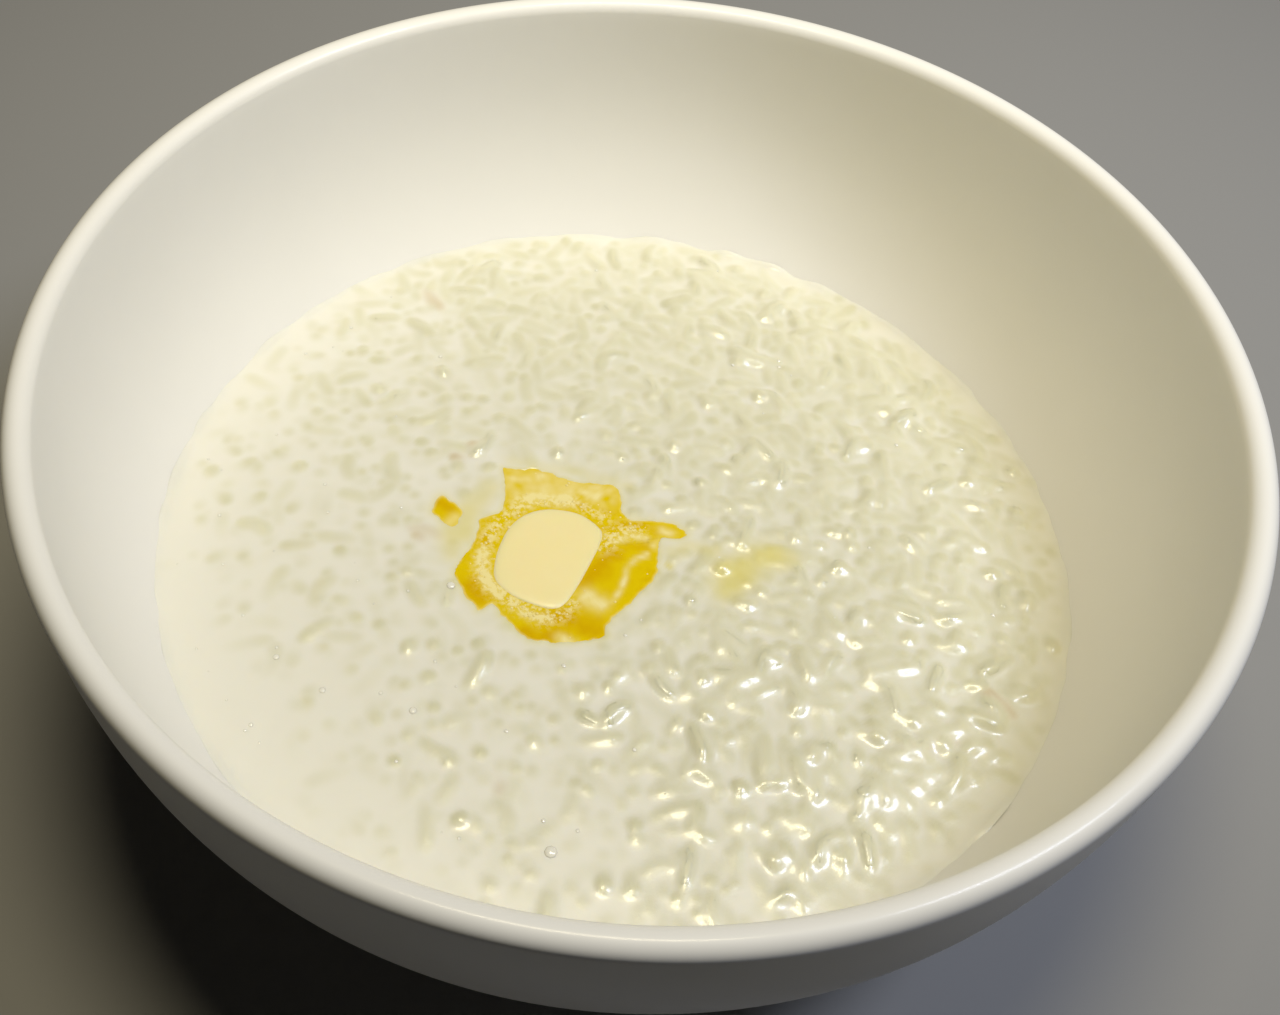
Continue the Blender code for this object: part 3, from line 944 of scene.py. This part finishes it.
def make_film(name, outer, inner, rings):
    """A thin film of melted butter, from the outline inner out to the outline outer. Both
    run round the same middle, with the same number of points."""
    share = 1 - (1 - np.linspace(0, 1, rings)) ** 1.5
    top = inner[None] + (outer - inner)[None] * share[:, None, None]
    x, y = top[..., 0], top[..., 1]
    inside = np.clip(-distance_to_outline(x, y, outer), 0, None)
    bulge = FILM_HEIGHT * np.sqrt(1 - (1 - np.clip(inside / FILM_EDGE, 0, 1)) ** 2)
    relief = sample(cloud_field(2.5 * MM, SEED + 5), x, y) * 0.02 * MM
    upper = np.stack([x, y, level(x, y) - 0.05 * MM + bulge + relief], axis=-1).reshape(-1, 3)
    lower = upper.copy()
    lower[:, 2] = level(lower[:, 0], lower[:, 1]) - 1.0 * MM
    size = len(outer)
    rim, hole = np.arange(size) + (rings - 1) * size, np.arange(size)
    below = len(upper)
    side = np.stack([rim, np.roll(rim, -1), np.roll(rim, -1) + below, rim + below], axis=-1)
    well = np.stack([hole, hole + below, np.roll(hole, -1) + below, np.roll(hole, -1)], axis=-1)
    faces = ring_quads(rings, size)
    film = make_grid_piece(
        name,
        np.concatenate([upper, lower]),
        np.concatenate([faces, faces[:, ::-1] + below, side, well]),
    )
    x, y = np.tile(upper[:, 0], 2), np.tile(upper[:, 1], 2)
    inside = np.tile(inside.ravel(), 2)
    uneven = sample(cloud_field(1.1 * MM, SEED + 6), x, y)
    rim = 0.6 * smoothstep(SOFT_EDGE, 0, inside) * np.clip(0.7 + 0.5 * uneven, 0, 1)
    cloudy = np.maximum(strokes(x, y, POOL_CLOUDS) * (1 + 0.35 * uneven), rim)
    deep = np.clip(strokes(x, y, POOL_DEPTHS) + 0.15 * uneven, 0, 1)
    foam = strokes(x, y, POOL_FOAM)
    paint(film, "shade", np.stack([np.clip(cloudy, 0, 1), deep, foam, foam * 0], axis=-1))
    film.data.materials.append(oil_material())
    return film


def make_pool():
    """The film round the pat, which starts just under the pat's side."""
    centre = np.array(PAT_CENTRE)
    pat = shrink(PAT_CURVE, 0.6 * MM) - centre
    pool = POOL_CURVE - centre
    pat_angles = np.arctan2(pat[:, 1], pat[:, 0])
    order = np.argsort(pat_angles)
    angles = np.arctan2(pool[:, 1], pool[:, 0])
    reach = np.interp(angles, pat_angles[order], np.hypot(*pat[order].T), period=math.tau)
    inner = centre + pool / np.hypot(*pool.T)[:, None] * reach[:, None]
    return make_film("melted_pool", POOL_CURVE, inner, 34)


def make_domes(name, places, sizes, flatness, material):
    """Bubbles as one mesh of domes, painted 1 at the foot and 0 on the crown. The bubble material turns
    this value into painted shade at the foot.
    """
    around, rows = 8, 4
    roll = math.tau * np.arange(around) / around
    tilt = math.pi / 2 * np.array([-0.3, 0.1, 0.4, 0.75])
    across = np.cos(tilt)[:, None]
    unit = np.stack(
        [across * np.cos(roll), across * np.sin(roll), np.repeat(np.sin(tilt), around).reshape(rows, -1)],
        axis=-1,
    ).reshape(-1, 3)
    unit = np.concatenate([unit, [[0, 0, 1], [0, 0, -0.5]]])
    # The foot's painted value, which the bubble material darkens as painted shade.
    rim = np.concatenate([np.repeat([1, 1, 0.3, 0], around), [0, 1]])
    faces = [ring_quads(rows, around)]
    last = (rows - 1) * around
    for i in range(0, around, 2):
        a, b, c = i, (i + 1) % around, (i + 2) % around
        faces.append(np.array([[last + a, last + b, last + c, last + around]]))
        faces.append(np.array([[c, b, a, last + around + 1]]))
    faces = np.concatenate(faces)
    places, sizes = np.array(places), np.array(sizes)
    shape = unit * (1, 1, flatness)
    points = places[:, None] + shape[None] * sizes[:, None, None]
    quads = faces[None] + (np.arange(len(places)) * len(unit))[:, None, None]
    domes = make_grid_piece(name, points.reshape(-1, 3), quads.reshape(-1, 4))
    shade = np.tile(rim, len(places))
    paint(domes, "shade", np.stack([shade, shade * 0, shade * 0, shade * 0], axis=-1))
    domes.data.materials.append(material)
    return domes


def scatter_foam():
    """Places and sizes of the foam, most of it right beside the pat."""
    low, high = POOL_CURVE.min(axis=0), POOL_CURVE.max(axis=0)
    spots = rng.uniform(low, high, (FOAM_TRIES, 2))
    from_pat = distance_to_outline(*spots.T, PAT_CURVE)
    from_edge = -distance_to_outline(*spots.T, POOL_CURVE)
    likely = 0.25 * np.exp(-((from_pat / (1.1 * MM)) ** 2)) + strokes(*spots.T, POOL_FOAM) ** 2
    likely = 0.3 * likely + 0.008
    chosen = (from_pat > 0) & (from_edge > 0.4 * MM) & (rng.uniform(size=FOAM_TRIES) < likely)
    x, y = spots[chosen].T
    sizes = rng.uniform(0.3, 1, len(x)) ** 2 * FOAM_SIZE
    return np.stack([x, y, level(x, y) + 0.04 * MM], axis=-1), sizes


def scatter_bubbles(surface):
    """Places and sizes of the small bubbles on the milk."""
    spots = [[x * MM, y * MM] for x, y, _ in LARGE_BUBBLES]
    sizes = [size * MM for _, _, size in LARGE_BUBBLES]
    for _ in range(BUBBLE_TRIES):
        x, y = rng.uniform(-REACH, REACH, 2)
        clear = edge_distance(x, y) > 2.5 * MM and at(BUTTER_FIELD, x, y) > 1 * MM
        if clear and rng.uniform() < 0.35 + 0.65 * at(MILKY_FIELD, x, y):
            spots.append([x, y])
            sizes.append(rng.uniform(0.12, 0.36) * MM)
    x, y = np.array(spots).T
    return np.stack([x, y, sample(surface.milk, x, y)], axis=-1), sizes


# --- the stage ---

CAMERA_DISTANCE = 2.1407 * RIM_RADIUS  # from the middle of the rim
CAMERA_ELEVATION = math.radians(45.48)
CAMERA_LOOKS_DOWN = math.radians(52.80)
CAMERA_HEADING = math.radians(4.47)
CAMERA_ROLL = math.radians(2.79)
CAMERA_LENS = 36.56
CAMERA_SHIFT = 0.0625


def make_camera():
    data = bpy.data.cameras.new("camera")
    data.lens = CAMERA_LENS
    data.shift_x = CAMERA_SHIFT
    data.clip_start = 0.01
    camera = bpy.data.objects.new("camera", data)
    offset = Vector((0, -math.cos(CAMERA_ELEVATION), math.sin(CAMERA_ELEVATION)))
    turn = Matrix.Rotation(CAMERA_HEADING, 4, "Z")
    turn = turn @ Matrix.Rotation(math.pi / 2 - CAMERA_LOOKS_DOWN, 4, "X")
    turn = turn @ Matrix.Rotation(CAMERA_ROLL, 4, "Z")
    place = Vector((0, 0, RIM_HEIGHT)) + offset * CAMERA_DISTANCE
    camera.matrix_world = Matrix.Translation(place) @ turn
    bpy.context.scene.collection.objects.link(camera)
    bpy.context.scene.camera = camera


def add_light(name, place, target, size, power, colour):
    data = bpy.data.lights.new(name, "AREA")
    data.shape = "DISK"
    data.size = size
    data.energy = power
    data.color = colour
    light = bpy.data.objects.new(name, data)
    light.location = place
    light.rotation_euler = (Vector(target) - Vector(place)).to_track_quat("-Z", "Y").to_euler()
    bpy.context.scene.collection.objects.link(light)


def make_stage():
    floor = make_piece("floor", [(-3, -3, 0), (3, -3, 0), (3, 3, 0), (-3, 3, 0)], [(0, 1, 2, 3)])
    shader = Shader("pale_floor")
    shader.colour(shader.mix(shader.noise(3, 2), (0.29, 0.286, 0.28), (0.32, 0.316, 0.31)))
    shader.rough(shader.ramp(shader.noise(5, 2), 0.7, 0.8))
    floor.data.materials.append(shader.material)
    # The lamps are aimed past the bowl, so that its near side gets less light.
    add_light("overhead", (0, 0.01, 0.45), (0, 0.45, 0.04), 0.16, 1.55, (1.0, 0.90, 0.62))
    add_light("right", (0.24, 0, 0.45), (-0.12, 0.45, 0.04), 0.16, 1.71, (0.75, 0.807, 0.965))
    world = bpy.data.worlds.new("studio")
    bpy.context.scene.world = world
    world.use_nodes = True
    background = world.node_tree.nodes["Background"]
    background.inputs["Color"].default_value = (0.95, 0.93, 0.88, 1)
    background.inputs["Strength"].default_value = 0.008
    bpy.context.scene.view_settings.view_transform = "Standard"


# --- all together ---


def dress(piece, slot, *nodes):
    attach(piece, "root")
    if nodes:
        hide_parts(*nodes)


make_camera()
dress(make_bowl(), "white_glaze", "bowl")
upper_grains = scatter_grains(GRAIN_TRIES, 0.36, 0.0)
lower_grains = scatter_grains(GRAIN_TRIES // 2, 0.7, 0.6 * MM)
all_grains = lower_grains + upper_grains
for grain in all_grains:
    for x, y in TINTED_GRAINS:
        if math.hypot(grain.middle[0] - x * MM, grain.middle[1] - y * MM) < 1.8 * MM:
            grain.tint = 0.6
pudding_surface = Surface(all_grains)
dress(make_milk(pudding_surface), "milk_rice", "pudding")
dress(make_rice(all_grains, pudding_surface), "milk_rice")
dress(make_pat(), "butter", "butter_pat")
dress(make_pool(), "melted_butter", "melted_butter")
dress(make_drop(), "melted_butter")
foam_places, foam_sizes = scatter_foam()
dress(make_domes("butter_foam", foam_places, foam_sizes, 0.6, foam_material()), "butter")
bubble_places, bubble_sizes = scatter_bubbles(pudding_surface)
bubbles = make_domes("milk_bubbles", bubble_places, bubble_sizes, 0.35, bubble_material_with_painted_foot_shade())
dress(bubbles, "milk_rice")
make_stage()
